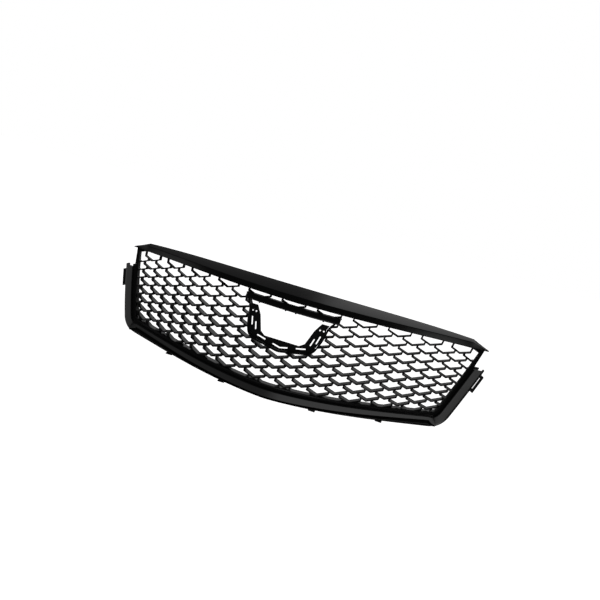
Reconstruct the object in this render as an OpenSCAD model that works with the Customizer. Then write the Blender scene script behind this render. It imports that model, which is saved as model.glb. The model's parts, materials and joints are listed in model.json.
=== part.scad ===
// Front grille of a saloon car: a bowed mesh panel in a U-shaped surround, under a gloss top bar,
// with an open crest-shaped seat for an emblem. Millimetres, +Z up, the front looks along -Y.
// The origin is midway between the two outer upper fixing holes, on the top of their brackets.

/* [Overall shape] */
// Half of the width over the two pointed ends of the top bar
half_w = 526; // [500:1:550]
// How far the sides sweep back before the curve flattens
sweep = 207; // [150:1:230]
// How much the sweep is flattened again towards the ends
flatten = 80; // [40:1:110]
// How far the top leans back over half of the mesh height
rake = 28.6; // [15:0.1:35]
// Extra backward curl of the top and the bottom
curl = 11; // [0:0.5:15]
// Extra lean at the ends
twist = 20.4; // [0:0.1:25]

/* [Mesh] */
// Distance between neighbouring columns of cells at the centre
pitch = 48; // [44:0.5:50]
// Height of one cell at the centre
row = 25.9; // [24:0.1:27]
// How much shorter a cell is at the ends
row_loss = 5; // [3:0.1:6]
// How much lower the rows sit at the ends
arch = 11.7; // [8:0.1:14]
// Thickness of the cell walls
wall = 4; // [2.6:0.1:5]
// Depth of the cell walls in the middle of a side
mid_depth = 27; // [22:1:30]
// Depth of the cell walls at the borders
edge_depth = 12; // [10:1:14]

/* [Surround] */
// Lowest point of the surround, below the first row of the mesh
bottom_z = -238; // [-242:1:-232]
// Rise of the bottom edge from the centre to the corner
rise = 33; // [25:1:38]
// Radius of the lower corners
corner_r = 60; // [50:1:70]
// Width of the band
band_w = 37; // [34:1:40]
// Height of the lower lip at the centre
lip_mid = 4; // [3:0.5:6]
// How much higher the lip is at the corners
lip_gain = 11; // [6:0.5:13]

/* [Top bar] */
// Height of the front face
bar_h = 14; // [12:0.5:17]
// Depth of the top face at the centre
bar_depth = 45; // [38:1:50]
// Slope of the top face, as rise over run
bar_slope = 0.5; // [0.3:0.01:0.6]

/* [Fixings] */
// Distance between the two outer upper holes
fix_spacing = 440; // [400:1:460]
// Radius of the upper fixing holes
fix_r = 3.5; // [2.5:0.1:4.5]
// Radius of the emblem fixing holes
emblem_r = 2.2; // [1.6:0.1:2.6]
// Radius of the locating pins
pin_r = 4; // [3:0.1:5]

/* [Hidden] */
gloss = [0.05, 0.05, 0.055];
satin = [0.12, 0.12, 0.125];
steel = [0.6, 0.6, 0.62];
foam = [0.2, 0.2, 0.2];
$fn = 48;

// ---- shape of the front -----------------------------------------------------------------------
mid_z = 117;        // half of the mesh height: the rake and the curl are counted from here
fix_y = 150;        // place of the fixing holes in the front's own frame
fix_z = 27;
seat_y = 8;         // the mesh's middle surface lies this far behind the face

// How far back the face lies at a width x and a height z
function face_y(x, z) =
    let (u = x / half_w, v = (z + mid_z) / mid_z)
    sweep * u * u - flatten * pow(u, 4) + rake * v + curl * v * v + twist * u * u * v;

// Moves a piece from the front's own frame to the fixing holes
module seated() {
    translate([0, -fix_y, -fix_z]) children();
}

// A solid through rings of points, each with the same number of points, capped at both ends
module loft(rings) {
    n = len(rings[0]);
    last = len(rings) - 1;
    points = [for (r = rings) for (p = r) p];
    sides = [for (i = [0:last - 1]) for (j = [0:n - 1]) for (half = [0, 1])
        let (a = i * n + j, b = i * n + (j + 1) % n)
        half == 0 ? [a, b, b + n] : [a, b + n, a + n]];
    caps = [[for (j = [n - 1:-1:0]) j], [for (j = [0:n - 1]) last * n + j]];
    polyhedron(points, concat(sides, caps), convexity = 10);
}

// ---- mesh lattice -----------------------------------------------------------------------------
columns = 11;       // columns on each side of the middle one
rows = 16;          // half rows from the top bar to the bottom edge
arm = 0.658;        // half width of a chevron, in columns
drop = 0.78;        // height of a chevron, in half rows
stem = 0.626;       // height of a stem, in half rows
top_stem = 1.5;     // height of the topmost stems, which run up behind the bar
squeeze = 0.066;    // how much closer the end columns stand
fan = 0.000628;     // how much the columns spread per millimetre of height
stem_set_back = 1.5; // the stems' tops stop short of the walls' edges, in front and behind

function lattice(k, m) =
    let (e = pow(k / columns, 2), z = -arch * e - m / 2 * (row - row_loss * e))
    [k * pitch * (1 - squeeze * e + fan * z), z];

function depth_at(x, z) =
    let (u = x / half_w, v = (z + mid_z) / mid_z)
    edge_depth + (mid_depth - edge_depth) * max(0, 1 - v * v) * (1 - pow(u, 4));

function unit(v) = v / norm(v);
function left_of(v) = [-v[1], v[0]];

// Half-thickness offset of a ribbon at a corner, mitred between its two stretches
function mitre(path, i) =
    let (before = unit(path[i] - path[max(i - 1, 0)] + (i == 0 ? path[1] - path[0] : [0, 0])),
         n = len(path) - 1,
         after = unit(path[min(i + 1, n)] - path[i] + (i == n ? path[n] - path[n - 1] : [0, 0])),
         m = unit(left_of(before) + left_of(after)))
    m * wall / 2 / (m * left_of(after));

// One scale of the mesh: a stem, the V and the other stem, as one mitred ribbon
module scale_ribbon(k, m) {
    top = m - drop - (m == 0 ? top_stem : stem);
    path = [lattice(k - arm, top), lattice(k - arm, m - drop), lattice(k, m),
            lattice(k + arm, m - drop), lattice(k + arm, top)];
    loft([for (i = [0:4])
        let (p = path[i], o = mitre(path, i), a = p + o, b = p - o,
             d = depth_at(p[0], p[1]) / 2 - (i % 4 == 0 ? stem_set_back : 0),
             y = face_y(p[0], p[1]) + seat_y)
        [[a[0], y - d, a[1]], [a[0], y + d, a[1]], [b[0], y + d, b[1]], [b[0], y - d, b[1]]]]);
}

// ---- outline of the surround --------------------------------------------------------------------
turn_x = 420;       // where the bottom edge ends and the corner starts
vee = 1.45;         // power of the bottom edge: 1 is a sharp V, 2 is a bow
side_a = 65.7;      // slope of the sides
side_top = -38;     // top of the surround, cut level
bottom_a = atan(rise * vee / turn_x);
corner_c = [turn_x - corner_r * sin(bottom_a), bottom_z + rise + corner_r * cos(bottom_a)];
corner_end = corner_c + corner_r * [sin(side_a), -cos(side_a)];
n_bottom = 14;
n_corner = 6;
n_side = 6;
n_half = n_bottom + n_corner + n_side;

// Half of the outline from the centre to the top of the side, as [x, z, slope]
half_outline = concat(
    [for (i = [0:n_bottom])
        let (x = turn_x * i / n_bottom)
        [x, bottom_z + rise * pow(x / turn_x, vee), atan(rise * vee / turn_x * pow(x / turn_x, vee - 1))]],
    [for (i = [1:n_corner])
        let (a = bottom_a + (side_a - bottom_a) * i / n_corner)
        [corner_c[0] + corner_r * sin(a), corner_c[1] - corner_r * cos(a), a]],
    [for (i = [1:n_side])
        let (s = (side_top - corner_end[1]) / sin(side_a) * i / n_side)
        [corner_end[0] + s * cos(side_a), corner_end[1] + s * sin(side_a), side_a]]);

// Point of the outline at a station (negative on the left), moved inwards by d: square to the
// outline, or level at the two upper ends
function inset(i, d) =
    let (p = half_outline[abs(i)], side = i < 0 ? -1 : 1, level = abs(i) == n_half)
    [side * (p[0] - d * (level ? 1 / sin(p[2]) : sin(p[2]))), p[1] + d * (level ? 0 : cos(p[2]))];

// Point in space at a station, an inward distance and a distance behind the face
function on_band(i, d, y) =
    let (p = inset(i, d))
    [p[0], face_y(p[0], p[1]) + y, p[1]];

// Room for the lip under the band: growing from the centre, gone a third of the way round the corner
function lip_room(i) =
    let (a = abs(i))
    a <= n_bottom ? lip_mid + lip_gain * pow(a / n_bottom, 1.3)
                  : (lip_mid + lip_gain) * max(0, 1 - (a - n_bottom) / (n_corner / 3));

module along_outline(from, to, profile) {
    loft([for (i = [from:to]) [for (p = profile) on_band(i, p[0], p[1])]]);
}

// ---- mesh panel ---------------------------------------------------------------------------------
mesh_inset = 28;    // the mesh ends behind the band, this far inside the outline
rim_w = 11;         // width of the rim round the mesh
rim_spare = 1.5;    // the rims stand this far in front of the walls, and behind them
top_corner = [516, 12.5]; // upper corner of the mesh, under the tip of the bar
lip_z = 17;         // lower edge of the top bar at the centre
lip_sag = 6;        // how much lower it is at the ends
mesh_hide = 9;      // how far the mesh reaches up behind the top bar

function bar_z(x) = lip_z - lip_sag * pow(x / half_w, 2);

rim_stations = [-26, -22, -20, -18, -16, -14, -11, -8, -5, -2, 2, 5, 8, 11, 14, 16, 18, 20, 22, 26];

function mesh_border(d) = concat(
    [for (i = rim_stations) inset(i, mesh_inset + d)],
    [top_corner - [1.3 * d, d]],
    [for (x = [480:-80:-480]) [x, bar_z(x) + mesh_hide - d]],
    [[-top_corner[0] + 1.3 * d, top_corner[1] - d]]);

// Half outline of the emblem opening, from the header bar down to the middle of the bottom
seat_half = [[130, 5], [107, -26], [101, -58], [91, -86], [79, -97], [0, -111]];
seat_n = 2 * len(seat_half) - 1;

// Point of the opening's outline from right to left, moved outwards by d
function seat_at(i, d) =
    let (right = i < len(seat_half), p = seat_half[right ? i : seat_n - 1 - i],
         q = p + unit(p - [0, -45]) * d)
    [right ? q[0] : -q[0], q[1]];

module prism(outline) {
    translate([0, 300, 0]) rotate([90, 0, 0]) linear_extrude(500) polygon(outline);
}

// One oblong ring of a rim, between an outer and an inner point
function rim_ring(p, q) =
    let (d = depth_at(p[0], p[1]) / 2 + rim_spare, y = face_y(p[0], p[1]) + seat_y)
    [[q[0], y - d, q[1]], [q[0], y + d, q[1]], [p[0], y + d, p[1]], [p[0], y - d, p[1]]];

// Rim round the mesh, in two lofts that meet at the top corners
module mesh_rim() {
    outer = mesh_border(0);
    inner = mesh_border(rim_w);
    last = len(outer) - 1;
    turn = len(rim_stations);
    loft([for (i = [0:turn]) rim_ring(outer[i], inner[i])]);
    loft([for (i = [turn:last]) rim_ring(outer[i], inner[i])]);
    loft([rim_ring(outer[last], inner[last]), rim_ring(outer[0], inner[0])]);
}

// Wall round the emblem opening, which ties the cut cells together
module seat_rim() {
    loft([for (i = [seat_n - 1:-1:0]) rim_ring(seat_at(i, 2), seat_at(i, 0))]);
}

// Tongues on the back of the rim that the surround's carrier holds
module rim_tongues() {
    for (i = [-23, -18, -12, -5, 5, 12, 18, 23]) {
        p = inset(i, mesh_inset + rim_w / 2);
        y = face_y(p[0], p[1]) + seat_y + depth_at(p[0], p[1]) / 2;
        translate([p[0], y + 3, p[1]]) hull() cube([7, 8, 4], center = true);
    }
}

module mesh_panel() {
    color(gloss) seated() {
        difference() {
            intersection() {
                for (k = [-columns:columns])
                    for (m = [abs(k) % 2:2:rows]) scale_ribbon(k, m);
                prism(mesh_border(0.5));
            }
            prism([for (i = [0:seat_n - 1]) seat_at(i, 1)]);
        }
        mesh_rim();
        seat_rim();
        rim_tongues();
    }
}

// ---- top bar ------------------------------------------------------------------------------------
bar_t = 3;          // thickness of its walls
bar_end = 47;       // length of the cut at each end
bar_proud = 4;      // how far it stands in front of the face
bar_narrow = 34;    // how much narrower the top face is at the ends

bar_stations = [-half_w, -503, for (i = [-12:12]) i * (half_w - bar_end) / 12, 503, half_w];

function bar_run(x) = bar_depth - bar_narrow * pow(x / half_w, 2);
function bar_full(x) = min(1, (half_w - abs(x)) / bar_end);

function bar_ring(x) =
    let (e = 0.12 + 0.88 * bar_full(x), z = bar_z(x), y = face_y(x, z) - bar_proud,
         run = bar_run(x), h = bar_h * e, top = h + bar_slope * run * e, lip = 6 * e, t = bar_t * e)
    [[x, y, z], [x, y + 3, z + h], [x, y + run, z + top], [x, y + run + 2, z + top - lip],
     [x, y + run + 2 - t, z + top - lip], [x, y + run - t, z + top - t],
     [x, y + 3 + t, z + h - 0.8 * t], [x, y + t, z]];

module upper_moulding() {
    color(gloss) seated()
        loft([for (x = bar_stations) bar_ring(x)]);
}

// ---- upper carrier and its brackets ---------------------------------------------------------------
carrier_half = 430;
carrier_y = [16, 30];
carrier_z = [-3, 13];
pad_w = 56;
pad_y = [110, 122];  // the flat pad behind the carrier that an outer bracket is screwed to
centre_pad_y = [70, 84];
plate_t = 3;
bracket_len = 44;

module carrier_pad(x, y) {
    translate([x - pad_w / 2, y[0], fix_z - plate_t - 14]) cube([pad_w, y[1] - y[0], 14]);
}

module upper_carrier() {
    color(satin) seated() {
        difference() {
            union() {
                loft([for (x = [-carrier_half:carrier_half / 10:carrier_half])
                    let (z = bar_z(x), y = face_y(x, z))
                    [[x, y + carrier_y[0], z + carrier_z[0]], [x, y + carrier_y[0], z + carrier_z[1]],
                     [x, y + carrier_y[1], z + carrier_z[1]], [x, y + carrier_y[1], z + carrier_z[0]]]]);
                for (side = [-1, 1]) carrier_pad(side * fix_spacing / 2, pad_y);
                carrier_pad(0, centre_pad_y);
            }
            bracket_screw_places() translate([0, 0, -16]) cylinder(r = 2, h = 40);
        }
    }
}

// Where the small screws go through the brackets' feet into the pads
module bracket_screw_places() {
    for (side = [-1, 1]) {
        for (dx = [-18, 18])
            translate([side * fix_spacing / 2 + dx, pad_y[0] + 7, fix_z - plate_t]) children();
        translate([side * 18, centre_pad_y[0] + 8, fix_z - plate_t]) children();
    }
}

// A flat bracket with a foot on the pad, a neck and a round eye with one hole
module bracket(foot_y, hole_y, r) {
    difference() {
        union() {
            translate([-pad_w / 2, foot_y, -plate_t]) cube([pad_w, 14, plate_t]);
            translate([-14, foot_y + 10, -plate_t]) cube([28, hole_y - foot_y - 10, plate_t]);
            translate([0, hole_y, -plate_t]) cylinder(r = 14, h = plate_t);
            for (side = [-1, 1])
                translate([side * 13 - 1, foot_y + 14, -plate_t - 5]) cube([2, hole_y - foot_y - 18, 5.5]);
        }
        translate([0, hole_y, -10]) cylinder(r = r, h = 20);
        for (side = [-1, 1]) translate([side * 18, foot_y + 7, -10]) cylinder(r = 2.2, h = 20);
    }
}

module upper_bracket_left() {
    color(steel) seated() translate([-fix_spacing / 2, 0, fix_z]) bracket(pad_y[0], fix_y, fix_r);
}

module upper_bracket_right() {
    color(steel) seated() translate([fix_spacing / 2, 0, fix_z]) bracket(pad_y[0], fix_y, fix_r);
}

module upper_bracket_centre() {
    color(steel) seated() translate([0, 0, fix_z]) bracket(centre_pad_y[0], centre_pad_y[0] + 48, fix_r);
}

// Pan-head screw standing on z = 0, its shank down
module screw(head_r, head_h, shank_r, shank_l) {
    cylinder(r = head_r, h = head_h);
    translate([0, 0, -shank_l]) cylinder(r = shank_r, h = shank_l);
}

module bracket_screws() {
    color(steel) seated() bracket_screw_places() translate([0, 0, plate_t]) screw(4, 2.4, 1.9, 14);
}

// Sprung clips that grip the back edge of the top bar
module moulding_clips() {
    color(steel) seated()
        for (side = [-1, 1]) for (x = [90, 330])
            translate([side * x - 8, face_y(x, bar_z(x)) - bar_proud + bar_run(x) + 2.2,
                       bar_z(x) + bar_h + bar_slope * bar_run(x) - 16]) {
                cube([16, 1.2, 12]);
                translate([0, -7, 0]) cube([16, 8, 1.2]);
            }
}

// ---- surround -----------------------------------------------------------------------------------
band_wall = 3;

// Section of the band as [inward distance, distance behind the face]: outer wall, face, ridge,
// step, sunk floor, and the same way back inside
function band_section(room) =
    let (ridge = 25 + room / 5)
    [[room, 20], [room, 2], [room + 1.5, -2.5], [room + 5, -5.5], [ridge, -10], [ridge + 3, -10],
     [ridge + 4.5, -4], [band_w - 2, -3.4], [band_w, -1.9], [band_w, 0.2], [band_w - 3, 0.2],
     [ridge + 2.5, -0.6], [ridge + 1, -6.2], [room + 7.5, -2.2], [room + band_wall, 1],
     [room + band_wall, 20]];

module surround_moulding() {
    color(gloss) seated()
        loft([for (i = [-n_half:n_half]) [for (p = band_section(lip_room(i))) on_band(i, p[0], p[1])]]);
}

lip_end = n_bottom + 1;

// Section of the lip: a slope from the outline up to a narrow ridge, then a groove under the band
function lip_section(h) =
    [[0, 16], [0, 5], [0.62 * h, -3.5], [0.75 * h, -3.5], [0.85 * h, -0.5], [h, 0.5], [h, 16]];

module surround_lip() {
    color(gloss) seated()
        loft([for (i = [-lip_end:lip_end])
            [for (p = lip_section(lip_room(i) - 0.4)) on_band(i, p[0], p[1])]]);
}

carrier_d = [12, 26];
frame_y = [20, 32];
screw_stations = [4, 10, 16, 20, 24];

module at_frame_screws() {
    for (i = screw_stations) for (side = [-1, 1]) {
        p = on_band(side * i, (carrier_d[0] + carrier_d[1]) / 2, frame_y[1]);
        translate([p[0], p[1] - 3, p[2]]) rotate([-90, 0, 0]) children();
    }
}

module surround_carrier() {
    color(satin) seated()
        difference() {
            along_outline(-n_half, n_half, [[carrier_d[0], frame_y[1]], [carrier_d[0], frame_y[0]],
                                            [carrier_d[1], frame_y[0]], [carrier_d[1], frame_y[1]]]);
            at_frame_screws() {
                translate([0, 0, -30]) cylinder(r = 2.1, h = 31);
                cylinder(r = 5.5, h = 20);
            }
        }
}

module carrier_screws() {
    color(steel) seated() at_frame_screws() screw(5, 2.6, 2, 14);
}

// ---- side tabs, lugs and pins ---------------------------------------------------------------------
tab_low = -94;      // lower and upper end of the strip
tab_high = -51;
tab_gap = 4;
tab_strip = 5;
tab_depth = 14;

// Ring of an upright strip beside the band, at a height z, from d0 to d1 outside the outline
function tab_ring(side, z, d0, d1) =
    [for (c = [[d0, 2], [d1, 2], [d1, 2 + tab_depth], [d0, 2 + tab_depth]])
        let (x = corner_end[0] + (z - corner_end[1]) / tan(side_a) + c[0] * sin(side_a),
             h = z - c[0] * cos(side_a))
        [side * x, face_y(x, h) + c[1], h]];

// A strip beside the band, held off it by a foot at each end so that a slot stays between
module side_tab(side) {
    loft([for (z = [tab_low, (tab_low + tab_high) / 2, tab_high])
        side < 0 ? tab_ring(side, z, tab_gap, tab_gap + tab_strip)
                 : tab_ring(side, z, tab_gap + tab_strip, tab_gap)]);
    for (z = [tab_low, tab_high - 6])
        loft([for (h = [z, z + 6])
            side < 0 ? tab_ring(side, h, 0, tab_gap + 0.2) : tab_ring(side, h, tab_gap + 0.2, 0)]);
}

module side_tab_left() {
    color(gloss) seated() side_tab(-1);
}

module side_tab_right() {
    color(gloss) seated() side_tab(1);
}

// Small lugs under the bottom edge that snap into the bumper
module snap_lugs() {
    color(gloss) seated()
        for (side = [-1, 1]) for (x = [125, 295]) {
            z = bottom_z + rise * pow(x / turn_x, vee);
            translate([side * x - 9, face_y(x, z) + 3, z - 3.6]) cube([18, 10, 3]);
        }
}

// Stepped pin with a flange, standing out of the back
module locating_pin(side) {
    p = on_band(side * (n_bottom + 1), (carrier_d[0] + carrier_d[1]) / 2, frame_y[1] + 1);
    translate(p) rotate([-90, 0, 0]) {
        cylinder(r = 7, h = 3);
        cylinder(r = pin_r, h = 24);
        translate([0, 0, 24]) cylinder(r1 = pin_r, r2 = pin_r - 2, h = 4);
    }
}

module locating_pin_left() {
    color(satin) seated() locating_pin(-1);
}

module locating_pin_right() {
    color(satin) seated() locating_pin(1);
}

module rattle_pads() {
    color(foam) seated()
        for (side = [-1, 1]) for (i = [7, 22]) {
            p = on_band(side * i, (carrier_d[0] + carrier_d[1]) / 2, frame_y[1] + 2);
            translate([p[0] - 6, p[1], p[2] - 6]) cube([12, 4, 12]);
        }
}

// ---- emblem seat ----------------------------------------------------------------------------------
header_z = [-10, 5];
header_half = 129;

module emblem_header_bar() {
    color(gloss) seated() {
        loft([for (x = [-header_half:header_half / 7:header_half + 0.1])
            [for (p = [[-4, header_z[0]], [-6, -5], [-4, -2],
                       [-2, header_z[1]], [20, header_z[1]], [20, header_z[0]]])
                [x, face_y(x, p[1]) + p[0], p[1]]]]);
        for (side = [-1, 1]) for (x = [14, 88])
            translate([side * x - 2, face_y(x, header_z[0]) + 2, header_z[0] - 3]) cube([4, 6, 3.2]);
    }
}

bezel_t = 2.2;      // thickness of the collar
bezel_out = 0.4;    // gap to the mesh's own wall

module emblem_bezel() {
    color(gloss) seated()
        loft([for (i = [seat_n - 1:-1:0])
            [for (q = [[-bezel_out - bezel_t, -6], [-bezel_out - bezel_t, 20],
                       [-bezel_out, 20], [-bezel_out, -6]])
                let (p = seat_at(i, q[0])) [p[0], face_y(p[0], p[1]) + q[1], p[1]]]]);
}

tilt = 17;          // the bracket leans back with the front
bracket_t = 2.6;
bracket_z = -60;    // height of the bracket's own origin
slot_w = 3.4;

module slot_2d(a, b) {
    len_ab = norm(b - a);
    translate(a) rotate(atan2(b[1] - a[1], b[0] - a[0])) union() {
        translate([0, -slot_w / 2]) square([len_ab, slot_w]);
        circle(r = slot_w / 2);
        translate([len_ab, 0]) circle(r = slot_w / 2);
    }
}

// Flat U plate: arms beside the opening, round holes for the emblem, slots for its hooks
module bracket_plate_2d() {
    outer = [[108, 45], [103, 33], [101, 12], [96, -4], [87, -26], [76, -37], [0, -51]];
    inner = [[88, 45], [74, 22], [67, 2], [60, -18], [47, -27]];
    difference() {
        polygon(concat(outer, [for (i = [5:-1:0]) [-outer[i][0], outer[i][1]]],
                       [for (p = inner) [-p[0], p[1]]], [for (i = [4:-1:0]) inner[i]]));
        for (side = [-1, 1]) {
            for (x = [87.5, 97.5]) translate([side * x, 27.5]) circle(r = emblem_r);
            slot_2d([side * 93, 11], [side * 88, -8]);
            slot_2d([side * 80, 0], [side * 75, -17]);
            slot_2d([side * 65, -30.5], [side * 43, -35.5]);
            slot_2d([0, -45.5], [side * 19, -41]);
        }
    }
}

module emblem_bracket() {
    color(satin) seated()
        translate([0, face_y(80, bracket_z) + 4, bracket_z]) rotate([90 - tilt, 0, 0])
            translate([0, 0, -bracket_t]) linear_extrude(bracket_t) bracket_plate_2d();
}

mesh_panel();
upper_moulding();
upper_carrier();
upper_bracket_left();
upper_bracket_centre();
upper_bracket_right();
bracket_screws();
moulding_clips();
surround_moulding();
surround_lip();
surround_carrier();
carrier_screws();
side_tab_left();
side_tab_right();
snap_lugs();
emblem_header_bar();
emblem_bezel();
emblem_bracket();
locating_pin_left();
locating_pin_right();
rattle_pads();
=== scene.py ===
"""Looks of a saloon car's front grille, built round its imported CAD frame.

Sizes in the classes are millimetres in the front's own frame: X to the right in a front view, Y to the
rear, Z up from the first row of the mesh. Front.place turns them into metres in the part's frame.
"""

from __future__ import annotations

import json
import logging
import math
from dataclasses import dataclass, field
from enum import Enum
from typing import Any, Sequence

import bmesh
import bpy
import numpy as np
from mathutils import Matrix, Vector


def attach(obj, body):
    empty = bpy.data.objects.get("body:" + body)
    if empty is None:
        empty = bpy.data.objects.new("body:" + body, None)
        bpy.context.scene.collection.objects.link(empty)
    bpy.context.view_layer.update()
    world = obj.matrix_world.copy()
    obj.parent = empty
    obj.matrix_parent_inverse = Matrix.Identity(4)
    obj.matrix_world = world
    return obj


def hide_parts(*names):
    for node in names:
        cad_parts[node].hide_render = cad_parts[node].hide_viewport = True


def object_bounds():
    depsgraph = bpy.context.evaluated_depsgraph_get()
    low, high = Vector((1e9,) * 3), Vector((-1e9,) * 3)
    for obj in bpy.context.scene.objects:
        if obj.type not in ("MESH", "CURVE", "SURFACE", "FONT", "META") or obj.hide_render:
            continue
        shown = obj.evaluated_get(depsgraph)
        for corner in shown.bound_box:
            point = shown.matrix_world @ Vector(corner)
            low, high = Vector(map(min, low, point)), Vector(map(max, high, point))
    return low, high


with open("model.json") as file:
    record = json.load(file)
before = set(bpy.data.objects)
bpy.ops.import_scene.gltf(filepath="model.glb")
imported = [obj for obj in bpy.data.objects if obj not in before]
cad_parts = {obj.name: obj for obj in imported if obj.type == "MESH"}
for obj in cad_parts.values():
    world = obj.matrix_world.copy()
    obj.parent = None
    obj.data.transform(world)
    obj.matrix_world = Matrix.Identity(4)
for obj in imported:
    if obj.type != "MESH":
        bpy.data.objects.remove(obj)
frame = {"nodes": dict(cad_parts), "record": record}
CAD_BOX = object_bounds()

LOG = logging.getLogger("grille")
MM = 0.001
WELD_M = 1e-6
EDGE_SHARE = 0.45
CORNER_STEPS = 4
Array = np.ndarray


class Slot(Enum):
    """The record's material slots."""

    GLOSS = "gloss_black"
    SATIN = "satin_black"
    STEEL = "coated_steel"
    FOAM = "foam"


# ---- shader arithmetic -------------------------------------------------------------------------


class Wire:
    """One output socket, with Python's operators adding Math nodes behind it."""

    def __init__(self, wiring: "Wiring", socket: bpy.types.NodeSocket) -> None:
        """Wraps a socket of a node tree."""
        self.wiring = wiring
        self.socket = socket

    def _math(self, operation: str, first: Any, second: Any) -> "Wire":
        """Adds one Math node on two values or wires."""
        return self.wiring.node("ShaderNodeMath", {"operation": operation}, {0: first, 1: second})

    def __add__(self, other: Any) -> "Wire":
        """self + other."""
        return self._math("ADD", self, other)

    __radd__ = __add__

    def __sub__(self, other: Any) -> "Wire":
        """self - other."""
        return self._math("SUBTRACT", self, other)

    def __rsub__(self, other: Any) -> "Wire":
        """other - self."""
        return self._math("SUBTRACT", other, self)

    def __mul__(self, other: Any) -> "Wire":
        """self * other."""
        return self._math("MULTIPLY", self, other)

    __rmul__ = __mul__


class Wiring:
    """A node tree while it is being wired up."""

    def __init__(self, tree: bpy.types.NodeTree) -> None:
        """Empties the tree."""
        self.tree = tree
        self.tree.nodes.clear()

    def node(
        self,
        kind: str,
        settings: dict[str, Any] | None = None,
        sockets: dict[Any, Any] | None = None,
        output: Any = 0,
    ) -> Wire | None:
        """Adds a node.

        Args:
            kind: The node's type name.
            settings: Its settings, set first; "stops" are a ramp's (position, colour) pairs.
            sockets: Values or wires for its inputs, by name or number.
            output: The output that is wanted, or None for a node without one.

        Returns:
            The wire that leaves the output.
        """
        made = self.tree.nodes.new(kind)
        for key, value in (settings or {}).items():
            if key == "stops":
                self._set_stops(made.color_ramp, value)
            else:
                setattr(made, key, value)
        for key, value in (sockets or {}).items():
            if isinstance(value, Wire):
                self.tree.links.new(value.socket, made.inputs[key])
            else:
                made.inputs[key].default_value = value
        return None if output is None else Wire(self, made.outputs[output])

    @staticmethod
    def _set_stops(ramp: bpy.types.ColorRamp, stops: Sequence[tuple[float, tuple]]) -> None:
        """Gives a ramp its stops, in order."""
        while len(ramp.elements) < len(stops):
            ramp.elements.new(1.0)
        for element, (position, colour) in zip(ramp.elements, stops):
            element.position = position
            element.color = colour

    def ramp(self, value: Wire, low: float, high: float, kind: str = "LINEAR") -> Wire:
        """0 below low and 1 above high, straight between or as another kind of interpolation."""
        return self.node(
            "ShaderNodeMapRange",
            {"clamp": True, "interpolation_type": kind},
            {"Value": value, "From Min": low, "From Max": high},
        )


class Recipe(Wiring):
    """A material while it is being wired up."""

    def __init__(self, name: str) -> None:
        """Starts a material with a surface shader and an output."""
        self.material = bpy.data.materials.new(name)
        self.material.use_nodes = True
        super().__init__(self.material.node_tree)
        self.shader = self.tree.nodes.new("ShaderNodeBsdfPrincipled")
        output = self.tree.nodes.new("ShaderNodeOutputMaterial")
        self.tree.links.new(self.shader.outputs[0], output.inputs[0])

    def coords(self, scale: tuple[float, float, float] = (1, 1, 1), centre: Array | None = None) -> Wire:
        """Object coordinates, moved to a centre and scaled.

        Args:
            scale: How many times the pattern is repeated per metre along each axis.
            centre: The point that becomes the pattern's origin, in metres.

        Returns:
            The vector's wire.
        """
        where = self.node("ShaderNodeTexCoord", output="Object")
        shift = (0, 0, 0) if centre is None else tuple(-c * s for c, s in zip(centre, scale))
        return self.node("ShaderNodeMapping", None, {"Vector": where, "Location": shift, "Scale": scale})

    def noise(self, where: Wire, scale: float, detail: float = 2.0) -> Wire:
        """Smooth noise from 0 to 1."""
        return self.node("ShaderNodeTexNoise", None, {"Vector": where, "Scale": scale, "Detail": detail})

    def blend(self, factor: Wire, first: tuple, second: tuple) -> Wire:
        """A colour between two, by a factor."""
        return self.node(
            "ShaderNodeMix",
            {"data_type": "RGBA"},
            {0: factor, 6: (*first, 1), 7: (*second, 1)},
            output=2,
        )

    def bump(self, height: Wire, depth_mm: float) -> None:
        """Feeds a bump of a real depth into the shader's normal."""
        normal = self.node(
            "ShaderNodeBump", None, {"Height": height, "Strength": 1.0, "Distance": depth_mm * MM}
        )
        self.feed("Normal", normal)

    def feed(self, name: str, value: Any) -> None:
        """Links a wire to a socket of the surface shader, or sets a plain value on it."""
        if isinstance(value, Wire):
            self.tree.links.new(value.socket, self.shader.inputs[name])
        else:
            self.shader.inputs[name].default_value = value


# ---- finishes ----------------------------------------------------------------------------------


@dataclass(frozen=True)
class GlossBlack:
    """Moulded-in gloss black plastic: faint orange peel, wiping marks and a little settled dust."""

    name: str = "gloss_black"
    slot: Slot = Slot.GLOSS
    base: tuple[float, float, float] = (0.006, 0.006, 0.0065)
    dust: tuple[float, float, float] = (0.034, 0.034, 0.034)
    roughness: float = 0.15
    peel_mm: float = 0.02
    wipes_per_m: tuple[float, float, float] = (6, 18, 26)
    specks_per_m: float = 900.0
    clouds_per_m: float = 7.0
    peel_per_m: float = 260.0
    swell_per_m: float = 60.0

    def material(self) -> bpy.types.Material:
        """Wires up the finish."""
        r = Recipe(self.name)
        where = r.coords()
        wipes = r.noise(r.coords(self.wipes_per_m), 1.0, 4.0)
        specks = r.ramp(r.noise(where, self.specks_per_m, 2.0), 0.62, 0.78)
        clouds = r.ramp(r.noise(where, self.clouds_per_m, 3.0), 0.35, 0.75)
        dusty = specks * clouds * 0.55 + clouds * 0.12
        r.feed("Base Color", r.blend(dusty, self.base, self.dust))
        r.feed("Roughness", wipes * 0.12 + specks * 0.1 + (self.roughness - 0.04))
        peel = r.noise(where, self.peel_per_m, 1.0) + r.noise(where, self.swell_per_m, 0.0) * 1.5
        r.bump(peel, self.peel_mm)
        return r.material


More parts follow.
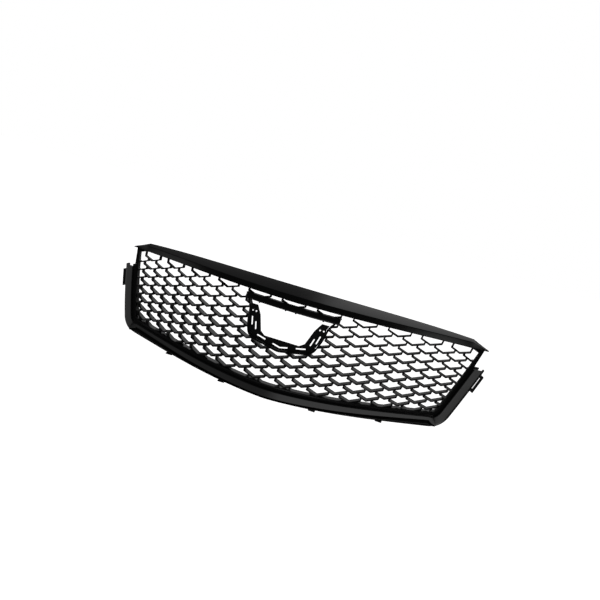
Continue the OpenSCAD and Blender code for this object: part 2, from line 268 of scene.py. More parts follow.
@dataclass(frozen=True)
class SatinBlack:
    """Satin black plastic as it leaves a spark-eroded mould: a fine even grain."""

    name: str = "satin_black"
    slot: Slot = Slot.SATIN
    base: tuple[float, float, float] = (0.010, 0.010, 0.0105)
    worn: tuple[float, float, float] = (0.038, 0.038, 0.039)
    roughness: float = 0.42
    grain_mm: float = 0.03
    grain_per_m: float = 1700.0
    flow_per_m: tuple[float, float, float] = (9, 30, 30)

    def material(self) -> bpy.types.Material:
        """Wires up the finish."""
        r = Recipe(self.name)
        where = r.coords()
        grain = r.noise(where, self.grain_per_m, 3.0)
        flow = r.noise(r.coords(self.flow_per_m), 1.0, 5.0)
        marks = r.ramp(flow, 0.45, 0.8)
        paler = marks * 0.35 + r.ramp(grain, 0.55, 0.8) * 0.2
        r.feed("Base Color", r.blend(paler, self.base, self.worn))
        r.feed("Roughness", grain * 0.1 + marks * 0.08 + (self.roughness - 0.05))
        r.bump(grain, self.grain_mm)
        return r.material


@dataclass(frozen=True)
class CoatedSteel:
    """Dark coated sheet steel: rolled streaks under a thin coat, rubbed through in spots."""

    name: str = "coated_steel"
    slot: Slot = Slot.STEEL
    coat: tuple[float, float, float] = (0.022, 0.023, 0.025)
    bare: tuple[float, float, float] = (0.36, 0.36, 0.37)
    roughness: float = 0.36
    coat_mm: float = 0.02
    streaks_per_m: tuple[float, float, float] = (40, 900, 900)
    spots_per_m: float = 420.0

    def material(self) -> bpy.types.Material:
        """Wires up the finish."""
        r = Recipe(self.name)
        streaks = r.noise(r.coords(self.streaks_per_m), 1.0, 3.0)
        spots = r.noise(r.coords(), self.spots_per_m, 4.0)
        rubbed = r.ramp(spots * 0.7 + streaks * 0.3, 0.6, 0.72)
        r.feed("Base Color", r.blend(rubbed * 0.5 + streaks * 0.06, self.coat, self.bare))
        r.feed("Metallic", rubbed * 0.7 + 0.15)
        r.feed("Roughness", streaks * 0.16 + (self.roughness - 0.06))
        r.bump(streaks + spots * 0.5, self.coat_mm)
        return r.material


@dataclass(frozen=True)
class OpenFoam:
    """Dark foam with small open pores, their hollows painted darker as shade."""

    name: str = "pad_foam"
    slot: Slot = Slot.FOAM
    skin: tuple[float, float, float] = (0.05, 0.05, 0.052)
    # Colour painted into the pore hollows as shade.
    pore_shade: tuple[float, float, float] = (0.010, 0.010, 0.010)
    roughness: float = 0.82
    pore_mm: float = 0.3
    pores_per_m: float = 700.0

    def material(self) -> bpy.types.Material:
        """Wires up the finish."""
        r = Recipe(self.name)
        cells = r.node(
            "ShaderNodeTexVoronoi",
            {"feature": "SMOOTH_F1"},
            {"Vector": r.coords(), "Scale": self.pores_per_m},
        )
        pore_depth_and_shade = r.ramp(cells, 0.15, 0.6)
        # Painted shade: the pore hollows get the darker colour, standing in for the shade inside them;
        # the same mask also sinks them with the bump.
        r.feed("Base Color", r.blend(pore_depth_and_shade, self.pore_shade, self.skin))
        r.feed("Roughness", pore_depth_and_shade * 0.1 + self.roughness)
        r.bump(pore_depth_and_shade, self.pore_mm)
        return r.material


# ---- surfaces ----------------------------------------------------------------------------------


def round_corners(points: Array, radius: Array, steps: int) -> Array:
    """Rounds the corners of closed sections.

    Each corner P becomes the curve (1-t)^2 A + 2t(1-t) P + t^2 B, where A and B lie on the two edges at
    the corner's radius from it, or at EDGE_SHARE of the edge if that is shorter.

    Args:
        points: Sections as (..., corners, 2).
        radius: The radius at each corner.
        steps: Points on each corner's curve.

    Returns:
        Sections as (..., corners * steps, 2).
    """
    to_last = np.roll(points, 1, axis=-2) - points
    to_next = np.roll(points, -1, axis=-2) - points
    run_last = np.maximum(np.linalg.norm(to_last, axis=-1), 1e-6)
    run_next = np.maximum(np.linalg.norm(to_next, axis=-1), 1e-6)
    start = points + to_last * (np.minimum(radius, EDGE_SHARE * run_last) / run_last)[..., None]
    stop = points + to_next * (np.minimum(radius, EDGE_SHARE * run_next) / run_next)[..., None]
    t = np.linspace(0.0, 1.0, steps)[:, None]
    a, p, b = (v[..., :, None, :] for v in (start, points, stop))
    curve = (1 - t) ** 2 * a + 2 * t * (1 - t) * p + t**2 * b
    return curve.reshape(*points.shape[:-2], -1, 2)


def sections(*corners: tuple[Any, Any]) -> Array:
    """Gathers the corners of sections that change along a piece.

    Args:
        corners: The corners in order. Either coordinate is a number or has one value per station.

    Returns:
        Sections as (stations, corners, 2).
    """
    values = np.broadcast_arrays(*(value for corner in corners for value in corner))
    return np.stack(values, axis=-1).reshape(-1, len(corners), 2)


def inside(polygon: Array, x: Array, z: Array) -> Array:
    """Tells which points lie in a polygon, by counting the edges that a ray to the right crosses.

    Args:
        polygon: Corners as (n, 2).
        x: The points' widths, of any shape.
        z: Their heights, of the same shape.

    Returns:
        True for each point inside.
    """
    x0, z0 = polygon[:, 0], polygon[:, 1]
    x1, z1 = np.roll(x0, -1), np.roll(z0, -1)
    level = z[..., None]
    spans = (z0 > level) != (z1 > level)
    rise = np.where(np.abs(z1 - z0) < 1e-9, 1e-9, z1 - z0)
    crossing = x0 + (level - z0) / rise * (x1 - x0)
    return (spans & (x[..., None] < crossing)).sum(axis=-1) % 2 == 1


class Shape:
    """A mesh gathered from grids of points, in metres."""

    def __init__(self) -> None:
        """Starts with no points and no faces."""
        self.points: list[Array] = []
        self.faces: list[Array] = []
        self.count = 0

    def add_tubes(self, rings: Array, looped: bool = False) -> None:
        """Adds closed tubes, each through a row of rings, with a face over both ends.

        Point j of ring i is joined to point j + 1 of it and to both points after it in ring i + 1.

        Args:
            rings: (tubes, rings, points, 3), or (rings, points, 3) for one tube.
            looped: Joins the last ring to the first one, with no end faces.
        """
        tubes = rings if rings.ndim == 4 else rings[None]
        n_tube, n_ring, n_point, _ = tubes.shape
        index = self.count + np.arange(n_tube * n_ring * n_point).reshape(n_tube, n_ring, n_point)
        here = index if looped else index[:, :-1]
        ahead = np.roll(index, -1, axis=1) if looped else index[:, 1:]
        quads = np.stack([here, np.roll(here, -1, 2), np.roll(ahead, -1, 2), ahead], axis=-1)
        self.faces.append(quads.reshape(-1, 4))
        if not looped:
            self.faces.append(index[:, 0, ::-1])
            self.faces.append(index[:, -1])
        self.points.append(tubes.reshape(-1, 3))
        self.count += n_tube * n_ring * n_point

    def piece(self, name: str, sharp_deg: float = 32.0) -> bpy.types.Object:
        """Makes the object: equal points merged, collapsed faces dropped, faces pointing outwards.

        Args:
            name: The piece's name.
            sharp_deg: Edges that turn more than this stay sharp in the shading.

        Returns:
            The object, at the origin.
        """
        points = np.concatenate(self.points)
        _, first, same = np.unique(np.round(points / WELD_M).astype(np.int64), axis=0,
                                   return_index=True, return_inverse=True)
        same = same.reshape(-1)
        kept = []
        for group in self.faces:
            merged = same[group]
            lasting = np.ones(len(merged), bool)
            if merged.shape[1] == 4:
                ordered = np.sort(merged, axis=1)
                lasting = (np.diff(ordered, axis=1) != 0).all(axis=1)
            kept.append(merged[lasting])
        mesh = bpy.data.meshes.new(name)
        corners = np.concatenate([g.reshape(-1) for g in kept]).astype(np.int32)
        totals = np.concatenate([np.full(len(g), g.shape[1]) for g in kept]).astype(np.int32)
        mesh.vertices.add(len(first))
        mesh.vertices.foreach_set("co", points[first].astype(np.float32).reshape(-1))
        mesh.loops.add(len(corners))
        mesh.loops.foreach_set("vertex_index", corners)
        mesh.polygons.add(len(totals))
        mesh.polygons.foreach_set("loop_start", np.cumsum(totals).astype(np.int32) - totals)
        mesh.update(calc_edges=True)
        mesh.validate()
        return finished(name, mesh, sharp_deg)


def finished(name: str, mesh: bpy.types.Mesh, sharp_deg: float) -> bpy.types.Object:
    """Turns a mesh's faces outwards, sets its shading and links its object.

    Args:
        name: The piece's name.
        mesh: The mesh, in the part's frame.
        sharp_deg: Edges that turn more than this stay sharp.

    Returns:
        The linked object.
    """
    work = bmesh.new()
    work.from_mesh(mesh)
    bmesh.ops.recalc_face_normals(work, faces=work.faces)
    work.to_mesh(mesh)
    work.free()
    mesh.polygons.foreach_set("use_smooth", np.ones(len(mesh.polygons), bool))
    mesh.set_sharp_from_angle(angle=math.radians(sharp_deg))
    piece = bpy.data.objects.new(name, mesh)
    bpy.context.scene.collection.objects.link(piece)
    return piece


# ---- the front's shape -------------------------------------------------------------------------


@dataclass(frozen=True)
class Front:
    """The bowed and raked face that every piece follows."""

    half_w: float = 526.0
    sweep: float = 207.0
    flatten: float = 80.0
    rake: float = 28.6
    curl: float = 11.0
    twist: float = 20.4
    mid_z: float = 117.0
    datum_y: float = 150.0
    datum_z: float = 27.0

    def y(self, x: Array, z: Array) -> Array:
        """How far back the face lies: sweep u^2 - flatten u^4 + rake v + curl v^2 + twist u^2 v."""
        u = x / self.half_w
        v = (z + self.mid_z) / self.mid_z
        bow = self.sweep * u**2 - self.flatten * u**4
        return bow + self.rake * v + self.curl * v**2 + self.twist * u**2 * v

    def place(self, x: Array, y: Array, z: Array) -> Array:
        """Points in metres in the part's frame."""
        x, y, z = np.broadcast_arrays(x, y, z)
        return np.stack([x, y - self.datum_y, z - self.datum_z], axis=-1) * MM

    def on(self, x: Array, z: Array, behind: Array) -> Array:
        """Points a given distance behind the face."""
        return self.place(x, self.y(x, z) + behind, z)


@dataclass(frozen=True)
class Outline:
    """The surround's outer outline: a shallow V, round corners and leaning sides."""

    turn_x: float = 420.0
    bottom_z: float = -238.0
    rise: float = 33.0
    power: float = 1.45
    corner_r: float = 60.0
    side_deg: float = 65.7
    top_z: float = -38.0
    lip_mid: float = 4.0
    lip_gain: float = 11.0
    lip_power: float = 1.3
    lip_end: float = 1 / 3
    steps: tuple[int, int, int] = (36, 15, 12)

    def stations(self) -> tuple[Array, Array]:
        """Points along the outline, and the step inwards there.

        The bottom is z = bottom + rise (x / turn)^power; a circular arc then turns to the side's slope,
        and the side is straight. The step is one millimetre square to the outline; at the two upper ends
        it is level and reaches as far across, so that the ends are cut level.

        Returns:
            Points and steps, both (stations, 2), from the left top round to the right top.
        """
        n_bottom, n_corner, n_side = self.steps
        x = self.turn_x * np.linspace(0, 1, n_bottom + 1)
        z = self.bottom_z + self.rise * (x / self.turn_x) ** self.power
        slope = np.arctan(self.rise * self.power / self.turn_x * (x / self.turn_x) ** (self.power - 1))
        side = math.radians(self.side_deg)
        turn = slope[-1] + (side - slope[-1]) * np.linspace(0, 1, n_corner + 1)[1:]
        centre_x = x[-1] - self.corner_r * math.sin(slope[-1])
        centre_z = z[-1] + self.corner_r * math.cos(slope[-1])
        arc_x = centre_x + self.corner_r * np.sin(turn)
        arc_z = centre_z - self.corner_r * np.cos(turn)
        length = (self.top_z - arc_z[-1]) / math.sin(side)
        along = length * np.linspace(0, 1, n_side + 1)[1:]
        half_x = np.concatenate([x, arc_x, arc_x[-1] + along * math.cos(side)])
        half_z = np.concatenate([z, arc_z, arc_z[-1] + along * math.sin(side)])
        half_a = np.concatenate([slope, turn, np.full(n_side, side)])
        step_x, step_z = -np.sin(half_a), np.cos(half_a)
        step_x[-1], step_z[-1] = -1 / math.sin(side), 0.0
        half = np.stack([half_x, half_z, step_x, step_z], axis=-1)
        whole = np.concatenate([half[:0:-1] * (-1, 1, -1, 1), half])
        return whole[:, :2], whole[:, 2:]

    def lip_room(self) -> Array:
        """Height left for the lip at each station.

        Along the bottom it is middle + gain s^power, with s from 0 at the centre to 1 where the corner
        starts; from there it falls straight to nothing over the first part of the corner.

        Returns:
            One height per station.
        """
        n_bottom, n_corner, _ = self.steps
        place = np.abs(np.arange(-sum(self.steps), sum(self.steps) + 1))
        full = self.lip_mid + self.lip_gain * np.minimum(place / n_bottom, 1) ** self.lip_power
        return full * np.clip(1 - (place - n_bottom) / (n_corner * self.lip_end), 0, 1)

    def band(self, front: Front, section: Array) -> Array:
        """Carries sections along the outline.

        A point (d, b) of the section at a station lies d steps inwards and b behind the face there.

        Args:
            front: The face.
            section: (stations, points, 2), or (points, 2) for the same section all along.

        Returns:
            Rings as (stations, points, 3), in metres.
        """
        place, step = self.stations()
        point = place[:, None] + step[:, None] * section[..., :1]
        return front.on(point[..., 0], point[..., 1], section[..., 1])


# ---- pieces ------------------------------------------------------------------------------------


@dataclass(frozen=True)
class Seat:
    """The crest-shaped emblem opening's outline, right half from the header bar down."""

    corners: tuple[tuple[float, float], ...] = (
        (130, 5), (107, -26), (101, -58), (91, -86), (79, -97), (0, -111),
    )

    centre: tuple[float, float] = (0.0, -45.0)
    radius: float = 7.0
    corner_steps: int = 5

    def outline(self) -> Array:
        """The whole open outline from right to left, its corners rounded, as (n, 2)."""
        half = np.array(self.corners, float)
        path = np.concatenate([half, half[-2::-1] * (-1, 1)])
        closed = round_corners(path, np.full(len(path), self.radius), self.corner_steps)
        return np.concatenate([path[:1], closed[self.corner_steps : -self.corner_steps], path[-1:]])

    def moved(self, inwards: Array) -> Array:
        """The outline moved square to itself.

        Args:
            inwards: Distances towards the middle of the opening, as (m,).

        Returns:
            Points as (n, m, 2).
        """
        path = self.outline()
        tangent = np.gradient(path, axis=0)
        tangent /= np.linalg.norm(tangent, axis=1, keepdims=True)
        normal = np.stack([tangent[:, 1], -tangent[:, 0]], axis=-1)
        normal *= np.sign((normal * (np.array(self.centre) - path)).sum(1, keepdims=True))
        return path[:, None] + normal[:, None] * inwards[None, :, None]


@dataclass
class MeshPanel:
    """The staggered scale mesh with its rim: one moulding."""

    front: Front
    outline: Outline
    seat: Seat
    columns: int = 11
    rows: int = 16
    pitch: float = 48.0
    row: float = 25.9
    row_loss: float = 5.0
    arch: float = 11.7
    squeeze: float = 0.066
    fan: float = 0.000628
    arm: float = 0.658
    drop: float = 0.78
    stem: float = 0.626
    top_stem: float = 1.5
    wall_front: float = 3.8
    wall_back: float = 4.2
    chamfer: float = 0.7
    mid_depth: float = 27.0
    edge_depth: float = 12.0
    seat_y: float = 8.0
    inset: float = 28.0
    rim_w: float = 11.0
    rim_spare: float = 1.5
    seat_wall: float = 2.0
    corner: tuple[float, float] = (516.0, 12.5)
    corner_lean: float = 1.3
    hide: float = 9.0
    bar_reach: float = 480.0
    bar_stations: int = 61
    top_short: float = 0.5
    cut_steps: int = 60
    cut_least: int = 3

    def lattice(self, k: Array, m: Array) -> Array:
        """Lattice point of column k and half row m; the rows sink and close up towards the ends."""
        e = (k / self.columns) ** 2
        z = -self.arch * e - m / 2 * (self.row - self.row_loss * e)
        x = k * self.pitch * (1 - self.squeeze * e + self.fan * z)
        return np.stack([x, z], axis=-1)

    def depth(self, x: Array, z: Array) -> Array:
        """Depth of the walls: edge + (middle - edge)(1 - v^2)(1 - u^4), never less than edge."""
        u = x / self.front.half_w
        v = (z + self.front.mid_z) / self.front.mid_z
        spare = self.mid_depth - self.edge_depth
        return self.edge_depth + spare * np.maximum(0, 1 - v**2) * (1 - u**4)

    def border(self, d: float) -> Array:
        """The mesh's closed border moved inwards by d: the surround, the upper corners and the bar."""
        place, step = self.outline.stations()
        round_x, round_z = (place + step * (self.inset + d)).T
        top_x = np.linspace(self.bar_reach, -self.bar_reach, self.bar_stations)
        top_z = TopBar(self.front).lower_edge(top_x) + self.hide - d
        corner_x, corner_z = self.corner[0] - self.corner_lean * d, self.corner[1] - d
        return np.stack([
            np.concatenate([round_x, [corner_x], top_x, [-corner_x]]),
            np.concatenate([round_z, [corner_z], top_z, [corner_z]]),
        ], axis=-1)

    def paths(self) -> Array:
        """Every scale's centre line: stem top, V end, V bottom, V end, stem top, as (scales, 5, 2)."""
        k, m = np.meshgrid(np.arange(-self.columns, self.columns + 1), np.arange(0, self.rows + 1))
        staggered = (k + m) % 2 == 0
        k, m = k[staggered][:, None], m[staggered][:, None]
        across = np.array([-1, -1, 0, 1, 1]) * self.arm
        up = np.array([1, 1, 0, 1, 1]) * self.drop
        stems = np.array([1, 0, 0, 0, 1]) * np.where(m == 0, self.top_stem, self.stem)
        return self.lattice(k + across, m - up - stems)

    def runs(self, paths: Array) -> tuple[Array, Array, Array]:
        """Cuts the centre lines to the mesh's outline and to the emblem opening.

        Args:
            paths: (scales, 5, 2).

        Returns:
            The scale's number and the first and last position, from 0 to 4, of each stretch that stays.
        """
        s = np.linspace(0, 4, 4 * self.cut_steps + 1)
        x, z = np.moveaxis(self.along(paths, np.broadcast_to(s, (len(paths), s.size)))[0], -1, 0)
        seat = self.seat.moved(np.array([-self.seat_wall / 2]))[:, 0]
        stays = inside(self.border(self.rim_w / 2), x, z) & ~inside(seat, x, z)
        edge = np.diff(np.pad(stays.astype(int), ((0, 0), (1, 1))), axis=1)
        scale, first = np.nonzero(edge == 1)
        _, last = np.nonzero(edge == -1)
        long = last - 1 - first > self.cut_least
        return scale[long], s[first[long]], s[last[long] - 1]

    @staticmethod
    def along(paths: Array, s: Array) -> tuple[Array, Array]:
        """Points on the centre lines, and the side offset for one unit of wall.

        Between corners the offset is the stretch's normal; on a corner it is the mitre, the sum of both
        normals over one plus their product.

        Args:
            paths: (n, 5, 2).
            s: Positions from 0 to 4, as (n, rings).

        Returns:
            Points and offsets, both (n, rings, 2).
        """
        stretch = np.clip(np.floor(s - 1e-9).astype(int), 0, 3)
        rows = np.arange(len(paths))[:, None]
        start, stop = paths[rows, stretch], paths[rows, stretch + 1]
        point = start + (stop - start) * (s - stretch)[..., None]
        step = np.diff(paths, axis=1)
        unit = step / np.linalg.norm(step, axis=-1, keepdims=True)
        normal = np.stack([-unit[..., 1], unit[..., 0]], axis=-1)
        here = normal[rows, stretch]
        after = normal[rows, np.clip(stretch + 1, 0, 3)]
        mitre = (here + after) / (1 + (here * after).sum(-1, keepdims=True))
        on_corner = (np.abs(s - np.round(s)) < 1e-6) & (s > 0.5) & (s < 3.5)
        return point, np.where(on_corner[..., None], mitre, here)

    def ribbons(self) -> Array:
        """Carries a section along every stretch of the scales.

        The section is an oblong of wall by depth whose four edges are cut off by the chamfer, and the
        wall grows a little from front to back.

        Returns:
            Rings as (stretches, 5, 8, 3), in metres.
        """
        paths = self.paths()
        scale, first, last = self.runs(paths)
        s = np.clip(np.arange(5.0), first[:, None], last[:, None])
        point, offset = self.along(paths[scale], s)
        x, z = point[..., 0], point[..., 1]
        tops = np.isin(s, (0.0, 4.0))
        half_d = self.depth(x, z) / 2 - np.where(tops, self.top_short, 0.0)
        c = self.chamfer
        side = np.array([-1, -1, -1, -1, 1, 1, 1, 1.0])
        ends = np.array([1, 1, -1, -1, -1, -1, 1, 1.0])
        trim_side = np.array([c, 0, 0, c, c, 0, 0, c])
        trim_end = np.array([0, c, c, 0, 0, c, c, 0])
        half_t = np.where(ends < 0, self.wall_front, self.wall_back) / 2 - trim_side
        reach = side * half_t
        px = x[..., None] + offset[..., 0, None] * reach
        pz = z[..., None] + offset[..., 1, None] * reach
        behind = self.front.y(x, z)[..., None] + self.seat_y + ends * (half_d[..., None] - trim_end)
        return self.front.place(px, behind, pz)

    def build(self) -> bpy.types.Object:
        """Gathers the ribbons, the rim round them and the wall at the emblem opening."""
        shape = Shape()
        shape.add_tubes(self.ribbons())
        outer, inner = self.border(0.0), self.border(self.rim_w)
        shape.add_tubes(self.rim(outer, inner, self.rim_w), looped=True)
        outer, inner = np.moveaxis(self.seat.moved(np.array([-self.seat_wall, 0.0])), 1, 0)
        shape.add_tubes(self.rim(outer, inner, self.seat_wall))
        return shape.piece("mesh_panel_moulding", 30.0)

    def rim(self, outer: Array, inner: Array, width: float) -> Array:
        """An eased oblong wall between two lines, a little deeper than the ribbons.

        Args:
            outer: The line on the ribbons' side, or on the outside, as (n, 2).
            inner: The other line, as (n, 2).
            width: The distance between them.

        Returns:
            Rings as (n, 8, 3), in metres.
        """
        c = self.chamfer
        across = np.array([c, 0, 0, c, width - c, width, width, width - c]) / width
        ends = np.array([-1, -1, 1, 1, 1, 1, -1, -1.0])
        trim = np.array([0, c, c, 0, 0, c, c, 0])
        point = outer[:, None] + (inner - outer)[:, None] * across[:, None]
        x, z = point[..., 0], point[..., 1]
        half_d = self.depth(x, z) / 2 + self.rim_spare
        return self.front.on(x, z, self.seat_y + ends * (half_d - trim))


@dataclass
class TopBar:
    """The gloss bar over the mesh: a low front face, a crease, a sloping top and pointed ends."""

    front: Front
    centre_z: float = 17.0
    sag: float = 6.0
    height: float = 14.0
    run_centre: float = 45.0
    narrow: float = 34.0
    slope: float = 0.5
    wall: float = 3.0
    proud: float = 4.0
    end_cut: float = 47.0
    tip: float = 0.12
    rear_lip: float = 6.0
    stations: int = 121
    end_stations: int = 8

    def lower_edge(self, x: Array) -> Array:
        """Height of the bar's lower edge, sagging with the square of the width."""
        return self.centre_z - self.sag * (x / self.front.half_w) ** 2

    def build(self) -> bpy.types.Object:
        """Lofts the bar from tip to tip.

        At a width x the section runs from the lower edge up to the crease, back up the slope to the
        rear edge, down its lip, and returns along the inside; near a tip it shrinks in proportion.

        Returns:
            The bar.
        """
        half = self.front.half_w
        inner = np.linspace(-half + self.end_cut, half - self.end_cut, self.stations)
        ends = np.linspace(0, self.end_cut, self.end_stations, endpoint=False)
        x = np.concatenate([-half + ends, inner, half - ends[::-1]])
        full = np.minimum(1, (half - np.abs(x)) / self.end_cut)
        e = self.tip + (1 - self.tip) * full
        run = self.run_centre - self.narrow * (x / half) ** 2
        h, t, lip = self.height * e, self.wall * e, self.rear_lip * e
        top = h + self.slope * run * e
        section = sections(
            (0, 0), (3, h), (run, top), (run + 2, top - lip),
            (run + 2 - t, top - lip), (run - t, top - t), (3 + t, h - 0.8 * t), (t, 0),
        )
        radius = np.array([0.7, 1.6, 3.2, 0.6, 0.4, 1.0, 1.0, 0.6]) * e[:, None]
        section = round_corners(section, radius, CORNER_STEPS)
        z = self.lower_edge(x)[:, None]
        y = self.front.y(x[:, None], z) - self.proud
        shape = Shape()
        shape.add_tubes(self.front.place(x[:, None], y + section[..., 0], z + section[..., 1]))
        return shape.piece("top_bar_moulding")


@dataclass
class Surround:
    """The U-shaped band and its lip."""

    front: Front
    outline: Outline
    width: float = 37.0
    wall: float = 3.0
    band_back: float = 20.0
    lip_back: float = 16.0
    lip_gap: float = 0.4
    lip_least: float = 0.3

    def band(self) -> bpy.types.Object:
        """Lofts the band: outer wall, face, ridge, step, sunk floor and the same way back inside."""
        room = self.outline.lip_room()
        w, t, back = self.width, self.wall, self.band_back
        ridge = 25 + room / 5
        section = sections(
            (room, back), (room, 2), (room + 1.5, -2.5), (room + 5, -5.5),
            (ridge, -10), (ridge + 3, -10), (ridge + 4.5, -4), (w - 2, -3.4),
            (w, -1.9), (w, 0.2), (w - t, 0.2), (ridge + 2.5, -0.6),
            (ridge + 1, -6.2), (room + 7.5, -2.2), (room + t, 1), (room + t, back),
        )
        radius = np.array([0.5, 3, 2, 2, 0.6, 0.6, 0.8, 1.2, 0.6, 0.5, 1, 1, 1, 1, 1, 0.5])
        shape = Shape()
        shape.add_tubes(self.outline.band(self.front, round_corners(section, radius, CORNER_STEPS)))
        return shape.piece("surround_band")

    def lip(self) -> bpy.types.Object:
        """Lofts the lip: a slope up to a narrow ridge, then a groove under the band."""
        n_bottom, n_corner, _ = self.outline.steps
        reach = n_bottom + round(n_corner * self.outline.lip_end)
        middle = sum(self.outline.steps)
        h = np.maximum(self.outline.lip_room() - self.lip_gap, self.lip_least)
        section = sections(
            (0, self.lip_back), (0, 5), (0.62 * h, -3.5), (0.75 * h, -3.5),
            (0.85 * h, -0.5), (h, 0.5), (h, self.lip_back),
        )
        radius = np.array([0.4, 1.5, 0.4, 0.4, 0.5, 0.4, 0.4])
        rounded = round_corners(section, radius, CORNER_STEPS)
        rings = self.outline.band(self.front, rounded)[middle - reach : middle + reach + 1]
        shape = Shape()
        shape.add_tubes(rings)
        return shape.piece("surround_lip_strip")


@dataclass
class EmblemSeat:
    """The header bar and the thin collar round the emblem opening."""

    front: Front
    seat: Seat
    bar_half: float = 129.0
    bar_low: float = -10.0
    bar_high: float = 5.0
    collar_gap: float = 0.4
    collar_wall: float = 2.2
    collar_front: float = -6.0
    collar_back: float = 20.0
    bar_stations: int = 49
    stud_x: tuple[float, ...] = (-14.0, -88.0, 14.0, 88.0)
    stud_half: float = 2.0
    stud_depth: float = 6.0

    def header(self) -> bpy.types.Object:
        """Lofts the header bar: a rounded front with a ridge, carried straight across."""
        x = np.linspace(-self.bar_half, self.bar_half, self.bar_stations)[:, None]
        section = np.array([
            (-3.6, self.bar_low), (-6, -5), (-4, -2), (-2, self.bar_high),
            (20, self.bar_high), (20, self.bar_low),
        ], float)
        rounded = round_corners(section, np.array([2.5, 1.2, 1.2, 1.5, 0.6, 0.6]), CORNER_STEPS)
        behind, z = rounded[:, 0], rounded[:, 1]
        shape = Shape()
        shape.add_tubes(self.front.on(x, z, behind))
        for x_stud in self.stud_x:
            shape.add_tubes(self.stud(x_stud))
        return shape.piece("header_bar_moulding")

    def stud(self, x: float) -> Array:
        """A small eased stud under the bar at a width x, as rings going down to a smaller tip."""
        half, depth = self.stud_half, self.stud_depth
        base = np.array([(-half, 0), (half, 0), (half, depth), (-half, depth)])
        ring = round_corners(base, np.full(4, 0.8), 3)
        shrink = np.array([1.0, 1.0, 0.7])[:, None]
        drop = np.array([0.2, -2.4, -3.0])[:, None]
        dx, dy = ring[:, 0] * shrink, depth / 2 + (ring[:, 1] - depth / 2) * shrink
        y = self.front.y(np.array(x), np.array(self.bar_low)) + 2
        return self.front.place(x + dx, y + dy, self.bar_low + drop)

    def collar(self) -> bpy.types.Object:
        """Lofts the collar: a thin wall with an eased front edge, along the opening's outline."""
        near, far = self.collar_gap, self.collar_gap + self.collar_wall
        section = np.array([(near, self.collar_back), (near, self.collar_front),
                            (far, self.collar_front), (far, self.collar_back)], float)
        rounded = round_corners(section, np.array([0.4, 0.9, 0.9, 0.4]), CORNER_STEPS)
        point = self.seat.moved(rounded[:, 0])
        shape = Shape()
        shape.add_tubes(self.front.on(point[..., 0], point[..., 1], rounded[:, 1]))
        return shape.piece("emblem_collar")


@dataclass
class EasedCopy:
    """A CAD piece shown as itself, with its sharp edges eased."""

    node: str
    ease_mm: float = 0.4
    steps: int = 2
    weld_m: float = 2e-6
    flat_deg: float = 0.6
    eased_deg: float = 40.0

    def build(self) -> bpy.types.Object:
        """Copies the node's mesh, merges its points, joins its flat faces and bevels what is left."""
        mesh = frame["nodes"][self.node].data.copy()
        mesh.name = self.node + "_eased"
        mesh.materials.clear()
        work = bmesh.new()
        work.from_mesh(mesh)
        bmesh.ops.remove_doubles(work, verts=work.verts, dist=self.weld_m)
        bmesh.ops.dissolve_limit(
            work, angle_limit=math.radians(self.flat_deg), verts=work.verts, edges=work.edges
        )
        work.to_mesh(mesh)
        work.free()
        piece = finished(self.node + "_eased", mesh, 30.0)
        bevel = piece.modifiers.new("eased_edges", "BEVEL")
        bevel.width = self.ease_mm * MM
        bevel.segments = self.steps
        bevel.limit_method = "ANGLE"
        bevel.angle_limit = math.radians(self.eased_deg)
        return piece


# ---- studio ------------------------------------------------------------------------------------


@dataclass(frozen=True)
class Window:
    """A soft bright window of the room, given by the directions that it lies in.

    A limit is a signed axis with two cosines: the window is dark below the first and full above the
    second. Its brightness grows by the gain from the left to the right of a stretch across.
    """

    limits: tuple[tuple[str, float, float], ...]
    brightness: float
    gain: float = 0.0
    stretch: tuple[float, float] = (0.0, 1.0)

    def light(self, sky: Wiring, ray: dict[str, Wire]) -> Wire:
        """Wires up the window's light.

        Args:
            sky: The world's wiring.
            ray: The direction's cosine along each signed axis.

        Returns:
            The light in that direction.
        """
        level = self.brightness
        if self.gain:
            level = sky.ramp(ray["+X"], *self.stretch, "SMOOTHSTEP") * self.gain + level
        for axis, dark, full in self.limits:
            level = sky.ramp(ray[axis], dark, full, "SMOOTHSTEP") * level
        return level


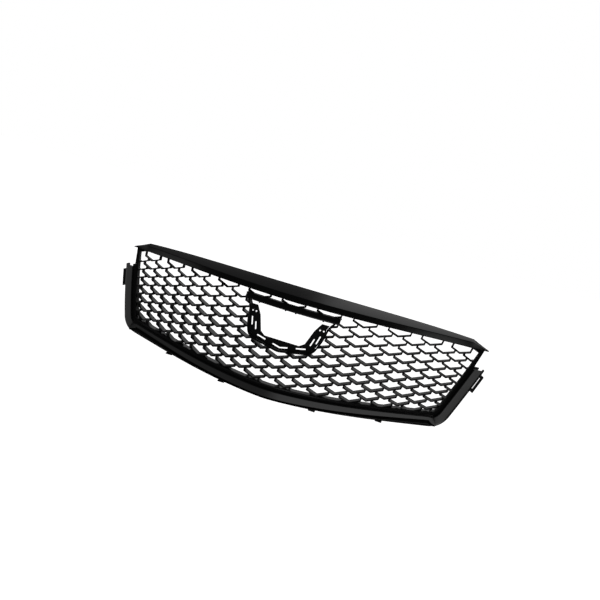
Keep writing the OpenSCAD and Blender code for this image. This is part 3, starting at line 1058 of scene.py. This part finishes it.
@dataclass(frozen=True)
class Studio:
    """A pale floor, the soft windows that light the grille, and the camera."""

    azimuth: float = 8.88
    elevation: float = 9.857
    roll: float = 15.11
    lens: float = 38.96
    eye_mm: tuple[float, float, float] = (270.65, -1593.71, 313.52)
    floor_gap: float = 0.30
    floor_half: float = 14.0
    floor_glow: float = 0.95
    ambient: float = 0.04
    windows: tuple[Window, ...] = (
        # Overhead towards the rear, brighter at the right.
        Window((("+Z", 0.55, 0.7), ("+Y", 0.1, 0.3)), 0.12, 0.75, (-0.1, 0.02)),
        # Low in front, brighter at the right.
        Window((("-Y", 0.05, 0.3), ("-Z", 0.22, 0.38)), 0.22, 0.7, (-0.14, -0.02)),
        # An upright strip at the right.
        Window((("+X", 0.68, 0.74), ("-X", -0.9, -0.84), ("-Z", -0.6, -0.45)), 0.9),
        # The whole left side.
        Window((("-X", 0.84, 0.9),), 0.45),
        # Behind the grille, above the floor.
        Window((("+Y", 0.5, 0.8), ("+Z", 0.05, 0.4)), 0.36),
    )

    def camera(self, front: Front) -> None:
        """Stands the camera in front of the grille, rolled so that the grille leans in the picture."""
        az, el, roll = (math.radians(v) for v in (self.azimuth, self.elevation, self.roll))
        ahead = np.array([-math.sin(az) * math.cos(el), math.cos(az) * math.cos(el), -math.sin(el)])
        level = np.array([math.cos(az), math.sin(az), 0.0])
        up = np.cross(level, ahead)
        right = math.cos(roll) * level + math.sin(roll) * up
        above = math.cos(roll) * up - math.sin(roll) * level
        data = bpy.data.cameras.new("camera")
        data.lens = self.lens
        data.sensor_width = 36.0
        data.clip_start, data.clip_end = 0.01, 100.0
        camera = bpy.data.objects.new("camera", data)
        turn = Matrix(np.stack([right, above, -ahead], axis=1).tolist()).to_4x4()
        eye = front.place(*(np.array(v) for v in self.eye_mm))
        camera.matrix_world = Matrix.Translation(eye.tolist()) @ turn
        bpy.context.scene.collection.objects.link(camera)
        bpy.context.scene.camera = camera

    def floor(self) -> None:
        """Lays a wide pale floor that glows, and keeps it out of reflections and bounced light."""
        low = float(CAD_BOX[0][2]) - self.floor_gap
        half = self.floor_half
        points = [(-half, -half, low), (half, -half, low), (half, half, low), (-half, half, low)]
        mesh = bpy.data.meshes.new("floor")
        mesh.from_pydata(points, [], [(0, 1, 2, 3)])
        floor = bpy.data.objects.new("floor", mesh)
        bpy.context.scene.collection.objects.link(floor)
        r = Recipe("pale_floor")
        r.feed("Base Color", (0.9, 0.9, 0.9, 1))
        r.feed("Roughness", 0.9)
        r.feed("Emission Color", (1, 1, 1, 1))
        r.feed("Emission Strength", self.floor_glow)
        mesh.materials.append(r.material)
        floor.visible_glossy = False
        floor.visible_diffuse = False

    def world(self) -> None:
        """White to the eye; in reflections a dim room with a few bright windows."""
        world = bpy.data.worlds.new("studio")
        world.use_nodes = True
        sky = Wiring(world.node_tree)
        ray = sky.node("ShaderNodeTexCoord", output="Generated")
        cosines = {}
        for axis in "XYZ":
            cosine = sky.node("ShaderNodeSeparateXYZ", None, {0: ray}, output=axis)
            cosines["+" + axis] = cosine
            cosines["-" + axis] = cosine * -1
        level = self.ambient
        for window in self.windows:
            level = window.light(sky, cosines) + level
        seen = sky.node("ShaderNodeLightPath", output="Is Camera Ray")
        strength = level + seen * (1 - level)
        light = sky.node("ShaderNodeBackground", None, {"Color": (1, 1, 1, 1), "Strength": strength})
        sky.node("ShaderNodeOutputWorld", None, {"Surface": light}, output=None)
        bpy.context.scene.world = world

    def build(self, front: Front) -> None:
        """Sets up camera, floor, light and a plain display transform."""
        self.camera(front)
        self.floor()
        self.world()
        bpy.context.scene.view_settings.view_transform = "Standard"


# ---- the grille --------------------------------------------------------------------------------


@dataclass
class Grille:
    """Every piece of the grille, with its finish."""

    front: Front = field(default_factory=Front)
    outline: Outline = field(default_factory=Outline)
    seat: Seat = field(default_factory=Seat)

    def __post_init__(self) -> None:
        """Makes each finish once."""
        finishes = (GlossBlack(), SatinBlack(), CoatedSteel(), OpenFoam())
        self.materials = {finish.slot: finish.material() for finish in finishes}
        self.shown: set[str] = set()

    def show(self, piece: bpy.types.Object, slot: Slot, *nodes: str) -> None:
        """Gives a new piece its finish and its place in the frame.

        Args:
            piece: The piece.
            slot: Its material slot.
            nodes: The CAD nodes it stands for.
        """
        piece.data.materials.clear()
        piece.data.materials.append(self.materials[slot])
        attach(piece, "root")
        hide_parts(*nodes)
        self.shown.update(nodes)
        LOG.info("%s stands for %s, %d faces", piece.name, ", ".join(nodes), len(piece.data.polygons))

    def build(self) -> None:
        """Builds the grille from its mesh outwards, and eases every CAD node that is left."""
        self.show(MeshPanel(self.front, self.outline, self.seat).build(), Slot.GLOSS, "mesh_panel")
        self.show(TopBar(self.front).build(), Slot.GLOSS, "upper_moulding")
        surround = Surround(self.front, self.outline)
        self.show(surround.band(), Slot.GLOSS, "surround_moulding")
        self.show(surround.lip(), Slot.GLOSS, "surround_lip")
        seat = EmblemSeat(self.front, self.seat)
        self.show(seat.header(), Slot.GLOSS, "emblem_header_bar")
        self.show(seat.collar(), Slot.GLOSS, "emblem_bezel")
        slots = {s["node"]: Slot(s["material_slot"]) for s in frame["record"]["subparts"]}
        for node in sorted(set(frame["nodes"]) - self.shown):
            self.show(EasedCopy(node).build(), slots[node], node)


def main() -> None:
    """Builds the grille and its studio."""
    logging.basicConfig(level=logging.INFO, format="%(message)s")
    grille = Grille()
    grille.build()
    Studio().build(grille.front)


if __name__ == "__main__":
    main()
